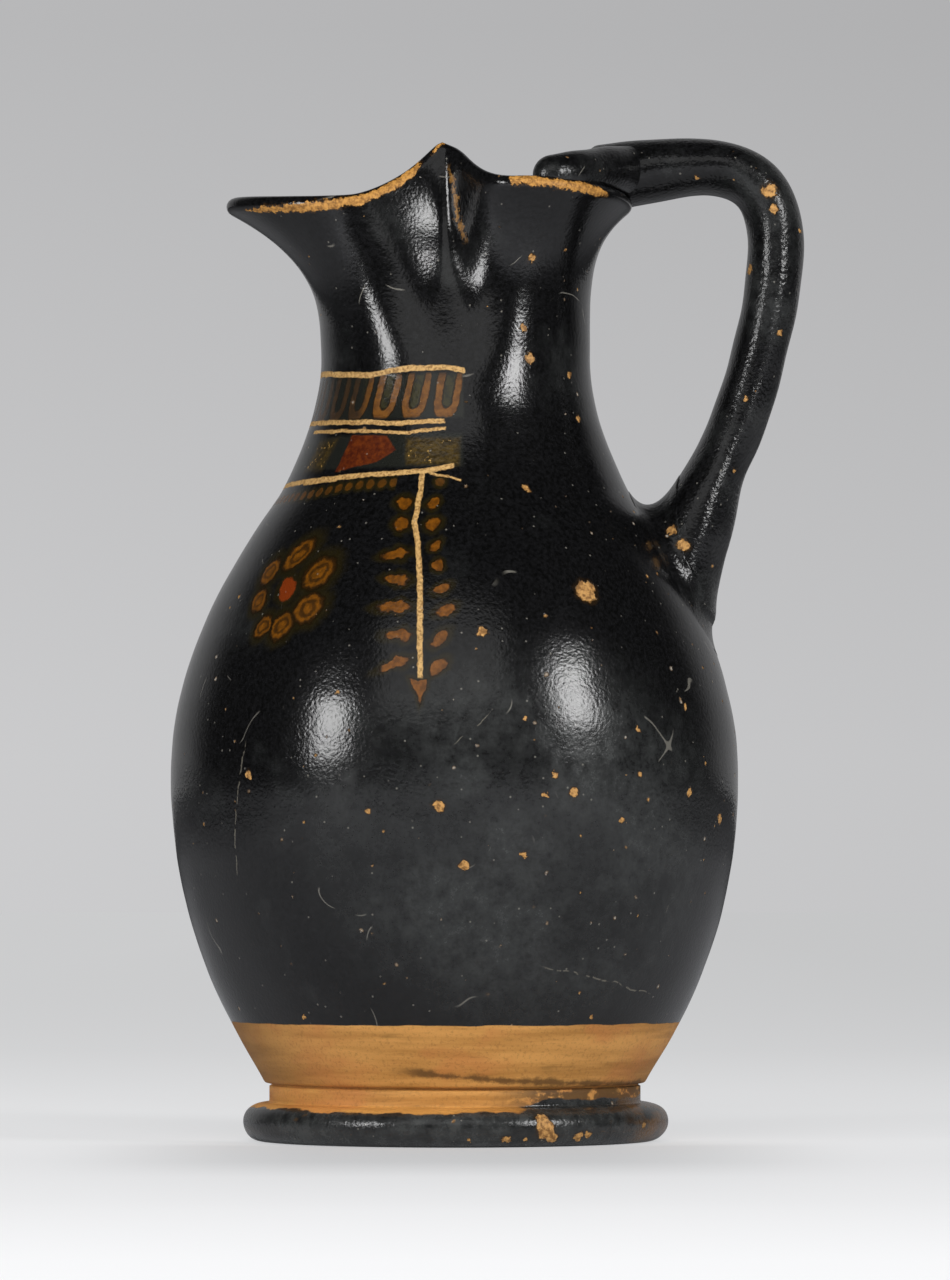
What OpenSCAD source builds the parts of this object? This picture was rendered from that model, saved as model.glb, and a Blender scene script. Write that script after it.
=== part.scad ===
// Trefoil-mouthed wine jug (oinochoe) in black-gloss pottery.
// Millimetres. The origin is on the jug's axis, in the plane that its foot
// rests on. +Z is up, the spout points to -X and the handle stands at +X.

/* [Belly and shoulder] */
// Radius of the belly at its widest
belly_r = 50.9; // [46:0.1:56]
// Height of the widest place above the table
belly_z = 66; // [60:0.5:74]
// Radius of the wall at its bottom corner
base_r = 34.1; // [32:0.1:38]
// Lean of the wall from upright at the bottom corner, in degrees
base_lean = 25; // [15:1:32]
// Radius where the shoulder turns from swelling to hollow
shoulder_r = 31.5; // [28:0.1:35]
// Height of that turn
shoulder_z = 116.2; // [108:0.2:124]
// Lean of the wall at that turn, in degrees
shoulder_lean = 27; // [20:1:36]
// Radius of the neck at its narrowest
neck_r = 24.4; // [22:0.1:27]
// Height of the narrowest place, where the mouth begins
neck_z = 140; // [132:0.5:150]

/* [Wall] */
// Thickness of the wall just above the floor
foot_wall = 5; // [4:0.1:6.5]
// Thickness of the wall at the neck
neck_wall = 3.7; // [3:0.1:4.5]
// Thickness of the floor
floor_t = 5.5; // [4:0.1:8]
// Drop of the underside below the seat of the foot, at the axis
nipple_drop = 2.5; // [0.5:0.1:4]

/* [Trefoil mouth] */
// Reach of the spout's tip from the axis
spout_reach = 40.4; // [36:0.1:46]
// Rise of the spout's tip above the neck
spout_rise = 26.6; // [22:0.1:31]
// Half width of the spout's lobe
spout_half = 18; // [16:0.1:20]
// Distance of the spout lobe's widest place from the axis
spout_back = 17; // [14:0.1:20]
// Rise of the spout lobe's side above the neck
side_rise = 26.8; // [24:0.1:30]
// Half width across the two pinches, outside
pinch_half = 14.6; // [13:0.1:17]
// Distance of the pinches from the axis, towards the spout
pinch_ahead = 2.3; // [0:0.1:5]
// Rise of the pinched peaks above the neck
pinch_rise = 37.4; // [34:0.1:41]
// Half width of the rear lobes
lobe_half = 27; // [24:0.1:29]
// Distance of the rear lobes' widest place behind the axis
lobe_back = 11; // [8:0.1:13]
// Rise of the rear lobes above the neck
lobe_rise = 28.7; // [26:0.1:32]
// Reach of the rear rim from the axis
rear_reach = 31.4; // [30:0.1:34]
// Rise of the rear rim above the neck
rear_rise = 27; // [24:0.1:31]
// Thickness of the rounded lip
lip_t = 3; // [2.2:0.1:3.6]

/* [Foot] */
// Height of the foot, from the table to the seam under the wall
foot_h = 10; // [9:0.1:12]
// Set-back of the foot's stem inside the wall's corner
stem_inset = 0.8; // [0.3:0.1:1.5]
// Height of the rolled ring at the bottom of the foot
roll_h = 6.8; // [5.5:0.1:7.4]
// Radius of the rolled ring at its widest
roll_r = 38.15; // [37:0.05:40]
// Height of the rolled ring's widest place
roll_z = 3.4; // [2.8:0.1:4]
// Outer radius of the face that the foot rests on
rest_outer_r = 35; // [33.5:0.1:36]
// Inner radius of the face that the foot rests on
rest_inner_r = 28; // [27:0.1:31]
// Radius of the hollow under the foot
hollow_r = 25.5; // [23:0.1:26.5]
// Thickness of the slip that glues the foot to the wall
slip_t = 0.3; // [0.2:0.05:0.6]

/* [Handle] */
// Rise of the handle's middle above the rear rim
handle_over = 8.2; // [7:0.1:10]
// Reach of the handle's middle beyond the rear rim
handle_out = 26.5; // [23:0.1:32]
// Thickness of the strap, seen from the side
strap_t = 10; // [8.5:0.1:11.5]
// Thickness of the strap where it meets the rim
start_t = 12; // [10:0.1:13]
// Width of the strap, seen from behind
strap_w = 15; // [12:0.1:18]
// Thickness of the strap at its root on the shoulder
root_t = 14.8; // [12:0.1:17]
// Width of the strap at its root
root_w = 25; // [18:0.1:28]
// Height of the root's lower end
root_z = 95; // [90:0.5:99]
// Depth of the strap's middle inside the wall at that end
root_sink = 4.5; // [3:0.1:6]
// Height over that end where the strap's long fall turns in to the shoulder
turn_h = 30.6; // [27:0.1:34]
// Radius of a rim arm where it leaves the strap
arm_r = 4.8; // [4:0.1:5.2]
// Radius of a rim arm at its end
arm_end_r = 3.6; // [2.6:0.1:4]
// Reach of the smoothed clay pad beside the root
pad_side = 6.5; // [5:0.1:8]
// Reach of that pad above the crotch under the strap
pad_over = 7; // [4:0.1:9]
// Reach of that pad below the root's lower end
pad_under = 8; // [6:0.1:10]
// Thickness of that pad at its middle, under the strap
pad_t = 3.2; // [2:0.1:4.5]
// Thickness of the slip between the pieces that are pressed together
luting = 0.05; // [0.03:0.01:0.1]

/* [Hidden] */

gloss = [0.06, 0.06, 0.065];
clay = [0.78, 0.55, 0.3];

// Height of the wall's bottom corner
wall_z = foot_h + slip_t;
// Radius of the foot's stem, and clear ends of the slip under the wall
stem_r = base_r - stem_inset;
slip_back = 0.4;
// Lengths of the profile's curve handles, as shares of each stretch
base_pull = 0.13 * (belly_z - wall_z);
lower_pull = 0.57 * (belly_z - wall_z);
upper_pull = 0.51 * (shoulder_z - belly_z);
shoulder_pull = 0.15 * (neck_z - shoulder_z);
neck_pull = 0.42 * (neck_z - shoulder_z);
// Steps along each stretch of the profile, and rounded corners
profile_steps = 16;
corner_steps = 5;
// Depth that the mouth's ring is sunk into the neck, and its play there
mouth_sink = 0.6;
mouth_play = 0.01;
// Steps up the mouth's wall, round its lip, and the facets of cut pieces
flare_steps = 11;
lip_steps = 6;
cut_fn = 96;
hull_fn = 28;
strap_n = 32;

function bezier(p, t) = pow(1 - t, 3) * p[0] + 3 * pow(1 - t, 2) * t * p[1]
    + 3 * (1 - t) * t * t * p[2] + pow(t, 3) * p[3];
function bezier_slope(p, t) = 3 * pow(1 - t, 2) * (p[1] - p[0])
    + 6 * (1 - t) * t * (p[2] - p[1]) + 3 * t * t * (p[3] - p[2]);
function unit(v) = v / norm(v);
function mix(a, b, t) = a + (b - a) * t;
// Point at place s along a chain of curves, where each curve is one unit long
function chain_part(chain, s) = min(floor(s), len(chain) - 1);
function along(chain, s) = let (k = chain_part(chain, s)) bezier(chain[k], s - k);
function along_slope(chain, s) = let (k = chain_part(chain, s)) bezier_slope(chain[k], s - k);

// Outer profile of the wall, as [radius, height], from the bottom corner to the neck
wall_chain = [
    [[base_r, wall_z],
     [base_r, wall_z] + base_pull * [sin(base_lean), cos(base_lean)],
     [belly_r, belly_z - lower_pull],
     [belly_r, belly_z]],
    [[belly_r, belly_z],
     [belly_r, belly_z + upper_pull],
     [shoulder_r, shoulder_z] + shoulder_pull * [sin(shoulder_lean), -cos(shoulder_lean)],
     [shoulder_r, shoulder_z]],
    [[shoulder_r, shoulder_z],
     [shoulder_r, shoulder_z] - shoulder_pull * [sin(shoulder_lean), -cos(shoulder_lean)],
     [neck_r, neck_z - neck_pull],
     [neck_r, neck_z]]];
wall_end = len(wall_chain);

// Outward normal, thickness and any offset of the wall at place s
function wall_normal(s) = let (d = unit(along_slope(wall_chain, s))) [d[1], -d[0]];
function wall_t(s) = mix(foot_wall, neck_wall, s / wall_end);
function wall_point(s, out) = along(wall_chain, s) + out * wall_normal(s);
function wall_places(from, to, n) = [for (i = [0:n]) mix(from, to, i / n)];
// Place on the wall at height z
wall_heights = [for (s = wall_places(0, wall_end, 60)) [along(wall_chain, s)[1], s]];
function wall_place(z) = lookup(z, wall_heights);

// The inside starts here on the wall and rounds off into the floor
floor_s = 0.2;
floor_z = wall_z + floor_t;
floor_in = wall_point(floor_s, -wall_t(floor_s));
floor_down = unit(along_slope(wall_chain, floor_s));
floor_pull = 3.9;
floor_flat = 0.6;
floor_curve = [floor_in, floor_in - floor_pull * floor_down,
    [floor_flat * floor_in[0], floor_z], [0, floor_z]];
// The underside bulges a little into the hollow of the foot
bulge_r = hollow_r - 0.5;
function underside(i, n) = let (r = bulge_r * i / n)
    [r, wall_z - nipple_drop * (1 + cos(180 * i / n)) / 2];

// Mouth: half of the rim's outer edge, from the spout's tip to the rear, in 3-D.
// Each turn is how far the curve's handle reaches from its point, and each fall how
// much lower that handle ends. The last two are shares of the way to the next point.
tip_turn = 9;
side_turn = 11;
side_ahead = 6.6;
pinch_turn = 2.4;
pinch_in = 0.4;
lobe_turn = 9;
lobe_fall = 0.6;
rear_fall = 0.4;
rear_turn = 0.55;
tip = [-spout_reach, 0, neck_z + spout_rise];
side = [-spout_back, spout_half, neck_z + side_rise];
pinch = [-pinch_ahead, pinch_half, neck_z + pinch_rise];
lobe = [lobe_back, lobe_half, neck_z + lobe_rise];
rear = [rear_reach, 0, neck_z + rear_rise];
peak_fall = 1.6;
side_slope = [1, 0, 0.16];
rim_chain = [
    [tip, tip + [0, tip_turn, 0], side - side_turn * side_slope, side],
    [side, side + side_ahead * side_slope, pinch - [pinch_turn, -pinch_in, peak_fall], pinch],
    [pinch, pinch + [pinch_turn, pinch_in, -peak_fall], lobe - [lobe_turn, 0, -lobe_fall], lobe],
    [lobe, lobe + [rear_turn * (rear_reach - lobe_back), 0, -rear_fall],
     rear + [0, rear_turn * lobe_half, 0], rear]];
// How late the wall flares at the five places of the chain: 1 is straight
flare_power = [3.1, 3, 1.9, 3.6, 4.7];
part_steps = [8, 9, 9, 8];
half_places = [for (k = [0:3]) for (i = [0:part_steps[k] - 1]) k + i / part_steps[k]];
// Places round the whole rim: 0 to 4 on the left side, and 4 to 8 back on the right
rim_places = concat(half_places, [4], [for (i = [len(half_places) - 1:-1:1]) 8 - half_places[i]]);
rim_n = len(rim_places);
function fold(s) = let (w = s < 0 ? s + 8 : (s >= 8 ? s - 8 : s)) w > 4 ? [8 - w, -1] : [w, 1];
function ease(t) = t * t * (3 - 2 * t);
function power_at(s) = let (k = min(floor(s), 3)) mix(flare_power[k], flare_power[k + 1], ease(s - k));
// Outer skin of the mouth at rim place s and share u of the way up
function skin(s, u) = let (
        f = fold(s),
        p = along(rim_chain, f[0]),
        reach = norm([p[0], p[1]]),
        r = neck_r - mouth_play + (reach - neck_r) * pow(max(u, 0), power_at(f[0])))
    [r * p[0] / reach, f[1] * r * p[1] / reach, mix(neck_z, p[2], u)];
ds = 0.02;
du = 0.02;
function skin_round(s, u) = unit(skin(s + ds, u) - skin(s - ds, u));
function skin_normal(s, u) = unit(cross(skin(s, u + du) - skin(s, u - du), skin_round(s, u)));
function skin_up(s, u) = cross(skin_round(s, u), skin_normal(s, u));
function mouth_t(u) = mix(neck_wall, lip_t, u);
// Rings of the mouth's closed skin: up the outside, over the lip, down the inside
function mouth_rings(grow) = concat(
    [[for (s = rim_places) skin(s, 0) + grow * skin_normal(s, 0) - [0, 0, mouth_sink]]],
    [for (j = [0:flare_steps]) let (u = j / flare_steps)
        [for (s = rim_places) skin(s, u) + grow * skin_normal(s, u)]],
    [for (j = [1:lip_steps - 1]) let (a = 180 * j / lip_steps)
        [for (s = rim_places) skin(s, 1) - skin_normal(s, 1) * (lip_t / 2)
            + (lip_t / 2 + grow) * (cos(a) * skin_normal(s, 1) + sin(a) * skin_up(s, 1))]],
    [for (j = [flare_steps:-1:0]) let (u = j / flare_steps)
        [for (s = rim_places) skin(s, u) - (mouth_t(u) - 4 * mouth_play + grow) * skin_normal(s, u)]],
    [[for (s = rim_places) skin(s, 0) - (neck_wall - 4 * mouth_play + grow) * skin_normal(s, 0)
        - [0, 0, mouth_sink]]]);

// Solid between rings of n points each, closed on itself like a tyre
module tyre(rings) {
    m = len(rings);
    n = len(rings[0]);
    polyhedron(
        points = [for (ring = rings) for (p = ring) p],
        faces = [for (j = [0:m - 1]) for (i = [0:n - 1])
            let (a = j * n + i, b = j * n + (i + 1) % n,
                c = ((j + 1) % m) * n + (i + 1) % n, d = ((j + 1) % m) * n + i)
            each [[a, b, c], [a, c, d]]],
        convexity = 6);
}

// Solid along rings of n points each, closed with a flat face at both ends
module tube(rings) {
    m = len(rings);
    n = len(rings[0]);
    polyhedron(
        points = [for (ring = rings) for (p = ring) p],
        faces = concat(
            [[for (i = [0:n - 1]) i]],
            [for (j = [0:m - 2]) for (i = [0:n - 1])
                let (a = j * n + i, b = j * n + (i + 1) % n)
                each [[a, a + n, b + n], [a, b + n, b]]],
            [[for (i = [n - 1:-1:0]) (m - 1) * n + i]]),
        convexity = 6);
}

module mouth(grow = 0) {
    tyre(mouth_rings(grow));
}

module wall() {
    outer = [for (k = [0:wall_end - 1]) each [for (i = [0:profile_steps - 1])
        wall_point(k + i / profile_steps, 0)]];
    inner = [for (s = wall_places(wall_end, floor_s, 2 * profile_steps))
        wall_point(s, -wall_t(s))];
    floor_line = [for (i = [1:corner_steps * 2]) bezier(floor_curve, i / (corner_steps * 2))];
    under = [for (i = [0:corner_steps * 2]) underside(i, corner_steps * 2)];
    rotate_extrude($fn = cut_fn)
        polygon(concat(under, outer, [wall_point(wall_end, 0)], inner, floor_line));
}

// Filled shape of the whole wall below the neck, grown by the luting
module wall_core(grow) {
    places = wall_places(0, wall_end, wall_end * profile_steps);
    rotate_extrude($fn = cut_fn)
        polygon(concat([[0, wall_z]], [for (s = places) wall_point(s, grow)], [[0, neck_z]]));
}

module body() {
    color(gloss) union() {
        wall();
        mouth();
    }
}

// Foot: a thrown ring with a rolled edge, seen in section. A narrow flat ledge lies
// between the stem and the roll, and the inner edge of the rest face is bevelled.
ledge = 1.2;
crest_pull = 2.2;
crest_drop = 0.3;
roll_pull = 1.4;
under_drop = 1.8;
under_pull = 1.6;
hollow_rise = 1.5;
roll_top_r = stem_r + ledge;
roll_top = [[roll_top_r, roll_h], [roll_top_r + crest_pull, roll_h - crest_drop],
    [roll_r, roll_h - roll_pull], [roll_r, roll_z]];
roll_bottom = [[roll_r, roll_z], [roll_r, roll_z - under_drop],
    [rest_outer_r + under_pull, 0], [rest_outer_r, 0]];

module foot() {
    color(gloss) rotate_extrude($fn = cut_fn) polygon(concat(
        [[hollow_r, foot_h], [hollow_r, hollow_rise], [rest_inner_r, 0], [rest_outer_r, 0]],
        [for (i = [corner_steps - 1:-1:0]) bezier(roll_bottom, i / corner_steps)],
        [for (i = [corner_steps - 1:-1:0]) bezier(roll_top, i / corner_steps)],
        [[stem_r, roll_h], [stem_r, foot_h]]));
}

module foot_slip() {
    color(clay) rotate_extrude($fn = cut_fn)
        translate([hollow_r + slip_back, foot_h])
            square([stem_r - hollow_r - 2 * slip_back, slip_t]);
}

// Handle: its middle line in the plane of the spout, as [x, 0, z]
rear_z = neck_z + rear_rise;
top_z = rear_z + handle_over;
far_x = rear_reach + handle_out;
// The strap starts inside the rear lip, a little lower than its top
start_in = 5;
start_drop = 1.9;
start_lift = 0.6;
// The bend at the top reaches this far in from the far side, and this far down
bend_in = 13;
bend_down = 14;
// Lean of the long fall where it turns in to the shoulder, and how far out that is:
// 0 is over the shoulder's turn, and 1 over the far side
fall_lean = 24;
fall_out = 0.685;
// Lengths of the curve handles along the path, and how far the last one stands out
start_pull = 6;
top_pull = 9;
back_pull = 8;
far_pull = 9.5;
fall_pull = 10;
turn_pull = 11;
root_out = 0.5;
strap_start = [rear_reach - start_in, 0, top_z - start_drop];
bend_start = [far_x - bend_in, 0, top_z];
bend_end = [far_x, 0, top_z - bend_down];
fall_dir = [-sin(fall_lean), 0, -cos(fall_lean)];
fall_end = [mix(shoulder_r, far_x, fall_out), 0, root_z + turn_h];
root_end = [wall_point(wall_place(root_z), 0)[0] - root_sink, 0, root_z];
handle_chain = [
    [strap_start, strap_start + [start_pull, 0, start_lift], bend_start - [start_pull, 0, 0], bend_start],
    [bend_start, bend_start + [top_pull, 0, 0], bend_end + [0, 0, back_pull], bend_end],
    [bend_end, bend_end - [0, 0, far_pull], fall_end - fall_pull * fall_dir, fall_end],
    [fall_end, fall_end + turn_pull * fall_dir, root_end + [root_out, 0, turn_pull], root_end]];
handle_steps = [4, 8, 8, 9];
handle_places = concat([for (k = [0:3]) for (i = [0:handle_steps[k] - 1]) k + i / handle_steps[k]], [4]);
// Places where the strap stops thinning from its start, where it begins to thicken
// and to widen to its root, and where these changes end
slim_to = 1.2;
thick_from = 3.08;
thick_to = 3.58;
wide_from = 2.6;
wide_to = 4;
function share_between(s, from, to) = ease(min(max((s - from) / (to - from), 0), 1));
// Half thickness and half width of the strap at place s
function strap_half_t(s) = mix(
    mix(start_t, strap_t, share_between(s, 0, slim_to)),
    root_t, share_between(s, thick_from, thick_to)) / 2;
function strap_half_w(s) = mix(strap_w, root_w, share_between(s, wide_from, wide_to)) / 2;

// Ring of points round the strap at place s, on an oval across its middle line
function strap_ring(s, grow) = let (
        p = along(handle_chain, s),
        d = unit(along_slope(handle_chain, s)),
        n = [d[2], 0, -d[0]])
    [for (i = [0:strap_n - 1]) let (a = 360 * i / strap_n)
        p + (strap_half_t(s) + grow) * cos(a) * n + [0, (strap_half_w(s) + grow) * sin(a), 0]];

module strap(grow = 0) {
    tube([for (s = handle_places) strap_ring(s, grow)]);
}

// What the pressed-on pieces are cut to fit: the wall, and the mouth's own wall
module seat() {
    wall_core(luting);
    mouth(luting);
}

module handle() {
    color(gloss) difference() {
        strap();
        seat();
    }
}

// Rim arm: a tapering roll of clay that branches off the strap and lies on the rear
// rim. Its middle line is one curve, from inside the strap to its end over the place
// arm_to of the rim's chain, where it runs along the rim.
arm_steps = 9;
arm_to = 3.25;
arm_inset = 3.6;
arm_end_rise = 3.2;
// How far behind the rear rim, beside the middle and under the strap's top line it starts
arm_behind = 4.1;
arm_beside = 0.8;
arm_below = 0.9;
// How far the two curve handles reach, and how much they spread and rise
arm_start_pull = 8;
arm_start_spread = 1;
arm_end_pull = 8.5;
arm_end_lift = 1.5;
arm_normal = skin_normal(arm_to, 1);
arm_end = skin(arm_to, 1) - arm_inset * unit([arm_normal[0], arm_normal[1], 0]) + [0, 0, arm_end_rise];
arm_start = [rear_reach + arm_behind, arm_beside, top_z - arm_below];
arm_curve = [arm_start, arm_start + [-arm_start_pull, arm_start_spread, 0],
    arm_end + arm_end_pull * unit([arm_normal[1], -arm_normal[0], 0]) + [0, 0, arm_end_lift], arm_end];
function arm_radius(i) = mix(arm_r, arm_end_r, ease(i / arm_steps));
function arm_point(i) = bezier(arm_curve, i / arm_steps);

module arm_ball(i) {
    r = arm_radius(i);
    translate(arm_point(i)) sphere(r = r, $fn = hull_fn);
}

module rim_arm() {
    color(gloss) difference() {
        for (i = [0:arm_steps - 1])
            hull() {
                arm_ball(i);
                arm_ball(i + 1);
            }
        seat();
        strap(luting);
    }
}

module rim_arm_left() {
    rim_arm();
}

module rim_arm_right() {
    mirror([0, 1, 0]) rim_arm();
}

// Pad: soft clay smoothed over the edges of the root, as a low dome on the wall.
// Its points are rings round the middle of the root, from the dome's top to its foot.
pad_rings = 7;
pad_n = 36;
// It starts below the root and ends above the crotch, the first place down the
// strap where its inner side meets the wall.
function strap_inside(s) = let (d = unit(along_slope(handle_chain, s)))
    along(handle_chain, s) - strap_half_t(s) * [-d[2], 0, d[0]];
function wall_r(z) = along(wall_chain, wall_place(z))[0];
crotch = [for (s = [3:0.02:4]) let (p = strap_inside(s)) if (p[0] < wall_r(p[2])) p][0];
pad_low = wall_place(root_z - pad_under);
pad_high = wall_place(crotch[2] + pad_over);
pad_w = root_w + 2 * pad_side;
function turn_z(p, a) = [p[0] * cos(a), p[0] * sin(a), p[1]];
function pad_point(k, i, high) = let (
        turn = 360 * i / pad_n,
        share = k / pad_rings,
        s = mix(pad_low, pad_high, (1 + share * cos(turn)) / 2),
        p = wall_point(s, luting + high * pad_t * (1 - share * share)))
    turn_z(p, pad_w / 2 * share * sin(turn) / p[0] * 180 / PI);

module dome() {
    points = concat(
        [pad_point(0, 0, 1)],
        [for (k = [1:pad_rings]) for (i = [0:pad_n - 1]) pad_point(k, i, 1)],
        [for (k = [pad_rings - 1:-1:1]) for (i = [0:pad_n - 1]) pad_point(k, i, 0)],
        [pad_point(0, 0, 0)]);
    rings = 2 * pad_rings - 1;
    last = len(points) - 1;
    polyhedron(points = points, convexity = 4, faces = concat(
        [for (i = [0:pad_n - 1]) [0, 1 + i, 1 + (i + 1) % pad_n]],
        [for (k = [0:rings - 2]) for (i = [0:pad_n - 1])
            let (a = 1 + k * pad_n + i, b = 1 + k * pad_n + (i + 1) % pad_n)
            each [[a, b + pad_n, b], [a, a + pad_n, b + pad_n]]],
        [for (i = [0:pad_n - 1]) [last, last - pad_n + (i + 1) % pad_n, last - pad_n + i]]));
}

module root_pad() {
    color(gloss) difference() {
        dome();
        strap(luting);
    }
}

body();
foot();
foot_slip();
handle();
rim_arm_left();
rim_arm_right();
root_pad();
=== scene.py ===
"""Looks of a trefoil-mouthed black-gloss wine jug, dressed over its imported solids.

Sizes in this script are millimetres and degrees, as in the part's source, and become
metres when a mesh, lamp or camera is made. The spout points to -X, the handle to +X.
"""

import math

import bpy
import numpy as np
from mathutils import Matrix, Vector


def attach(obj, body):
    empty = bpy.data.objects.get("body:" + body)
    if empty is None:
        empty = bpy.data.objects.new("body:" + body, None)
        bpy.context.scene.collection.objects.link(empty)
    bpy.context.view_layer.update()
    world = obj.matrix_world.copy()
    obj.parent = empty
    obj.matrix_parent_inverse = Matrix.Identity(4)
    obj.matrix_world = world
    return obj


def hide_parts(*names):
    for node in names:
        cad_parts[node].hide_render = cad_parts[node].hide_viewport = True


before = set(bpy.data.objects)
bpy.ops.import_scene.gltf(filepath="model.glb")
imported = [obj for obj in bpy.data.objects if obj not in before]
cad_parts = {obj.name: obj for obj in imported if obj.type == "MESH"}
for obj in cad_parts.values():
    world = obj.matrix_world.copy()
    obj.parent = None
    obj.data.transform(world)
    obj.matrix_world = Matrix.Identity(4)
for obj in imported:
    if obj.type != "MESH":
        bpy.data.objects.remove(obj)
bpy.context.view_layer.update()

MM = 0.001
TAU = 2 * math.pi

# The part's sizes, with the names of its source
belly_r, belly_z = 50.9, 66
base_r, base_lean = 34.1, 25
shoulder_r, shoulder_z, shoulder_lean = 31.5, 116.2, 27
neck_r, neck_z = 24.4, 140
foot_wall, neck_wall, floor_t, nipple_drop = 5, 3.7, 5.5, 2.5
spout_reach, spout_rise, spout_half, spout_back, side_rise = 40.4, 26.6, 18, 17, 26.8
pinch_half, pinch_ahead, pinch_rise = 14.6, 2.3, 37.4
lobe_half, lobe_back, lobe_rise = 27, 11, 28.7
rear_reach, rear_rise, lip_t = 31.4, 27, 3
foot_h, stem_inset, roll_h, roll_r, roll_z = 10, 0.8, 6.8, 38.15, 3.4
rest_outer_r, rest_inner_r, hollow_r, slip_t = 35, 28, 25.5, 0.3
handle_over, handle_out = 8.2, 26.5
strap_t, strap_w, root_t, root_w = 10, 15, 14.8, 25
root_z, root_sink, turn_h = 95, 4.5, 30.6
arm_r, arm_end_r = 4.8, 3.6
wall_z = foot_h + slip_t
stem_r = base_r - stem_inset


def unit(v):
    """Rows of v, each at length 1."""
    v = np.asarray(v, float)
    return v / np.linalg.norm(v, axis=-1, keepdims=True)


def mix(a, b, t):
    return a + (b - a) * t


def ease(t):
    t = np.clip(t, 0, 1)
    return t * t * (3 - 2 * t)


def between(x, low, high):
    """0 below low, 1 above high, and a smooth rise from one to the other."""
    return ease((np.asarray(x, float) - low) / (high - low))


def bezier(p, t):
    p = np.asarray(p, float)
    t = np.asarray(t, float)[..., None]
    u = 1 - t
    return u**3 * p[0] + 3 * u * u * t * p[1] + 3 * u * t * t * p[2] + t**3 * p[3]


def bezier_slope(p, t):
    p = np.asarray(p, float)
    t = np.asarray(t, float)[..., None]
    u = 1 - t
    return 3 * u * u * (p[1] - p[0]) + 6 * u * t * (p[2] - p[1]) + 3 * t * t * (p[3] - p[2])


def along(chain, s, curve=bezier):
    """Points at places s of a chain of curves, where each curve is one unit long."""
    s = np.atleast_1d(np.asarray(s, float))
    part = np.clip(np.floor(s), 0, len(chain) - 1).astype(int)
    out = np.zeros(s.shape + (len(chain[0][0]),))
    for k, p in enumerate(chain):
        here = part == k
        out[here] = curve(p, s[here] - k)
    return out


def lean_dir(angle):
    return np.array([math.sin(math.radians(angle)), math.cos(math.radians(angle))])


# Outer profile of the wall, as (radius, height), from the bottom corner to the neck
base_pull = 0.13 * (belly_z - wall_z)
lower_pull = 0.57 * (belly_z - wall_z)
upper_pull = 0.51 * (shoulder_z - belly_z)
shoulder_pull = 0.15 * (neck_z - shoulder_z)
neck_pull = 0.42 * (neck_z - shoulder_z)
corner = np.array([base_r, wall_z])
turn = np.array([shoulder_r, shoulder_z])
turn_dir = lean_dir(-shoulder_lean)
belly = np.array([belly_r, belly_z])
neck = np.array([neck_r, neck_z])
wall_chain = [
    [corner, corner + base_pull * lean_dir(base_lean), belly - [0, lower_pull], belly],
    [belly, belly + [0, upper_pull], turn - shoulder_pull * turn_dir, turn],
    [turn, turn + shoulder_pull * turn_dir, neck - [0, neck_pull], neck],
]


def wall_normal(s):
    d = unit(along(wall_chain, s, bezier_slope))
    return np.stack([d[:, 1], -d[:, 0]], 1)


def wall_t(s):
    return mix(foot_wall, neck_wall, np.asarray(s, float) / 3)[:, None]


fine_wall = along(wall_chain, np.linspace(0, 3, 601))


def wall_radius(z):
    return np.interp(z, fine_wall[:, 1], fine_wall[:, 0])


def on_wall(angle, z):
    """Point on the wall at an angle from -Y towards +X, in degrees, and a height."""
    r = float(wall_radius(z))
    a = math.radians(angle)
    return np.array([r * math.sin(a), -r * math.cos(a), z])


# Rim of the mouth, from the spout's tip to the rear, on the left side
tip_turn, side_turn, side_ahead, pinch_turn, pinch_in, peak_fall = 9, 11, 6.6, 2.4, 0.4, 1.6
lobe_turn, lobe_fall, rear_fall, rear_turn = 9, 0.6, 0.4, 0.55
side_slope = np.array([1, 0, 0.16])
tip = np.array([-spout_reach, 0, neck_z + spout_rise])
side = np.array([-spout_back, spout_half, neck_z + side_rise])
pinch = np.array([-pinch_ahead, pinch_half, neck_z + pinch_rise])
lobe = np.array([lobe_back, lobe_half, neck_z + lobe_rise])
rear = np.array([rear_reach, 0, neck_z + rear_rise])
lobe_pull = [rear_turn * (rear_reach - lobe_back), 0, -rear_fall]
rim_chain = [
    [tip, tip + [0, tip_turn, 0], side - side_turn * side_slope, side],
    [side, side + side_ahead * side_slope, pinch - [pinch_turn, -pinch_in, peak_fall], pinch],
    [pinch, pinch + [pinch_turn, pinch_in, -peak_fall], lobe - [lobe_turn, 0, -lobe_fall], lobe],
    [lobe, lobe + lobe_pull, rear + [0, rear_turn * lobe_half, 0], rear],
]
flare_power = np.array([3.1, 3, 1.9, 3.6, 4.7])
rim_loop = 2 * len(rim_chain)
# The spout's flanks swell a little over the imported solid, round the rim place of the flank
flank_swell, flank_place, flank_spread = 2.4, 1, 0.5


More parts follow.
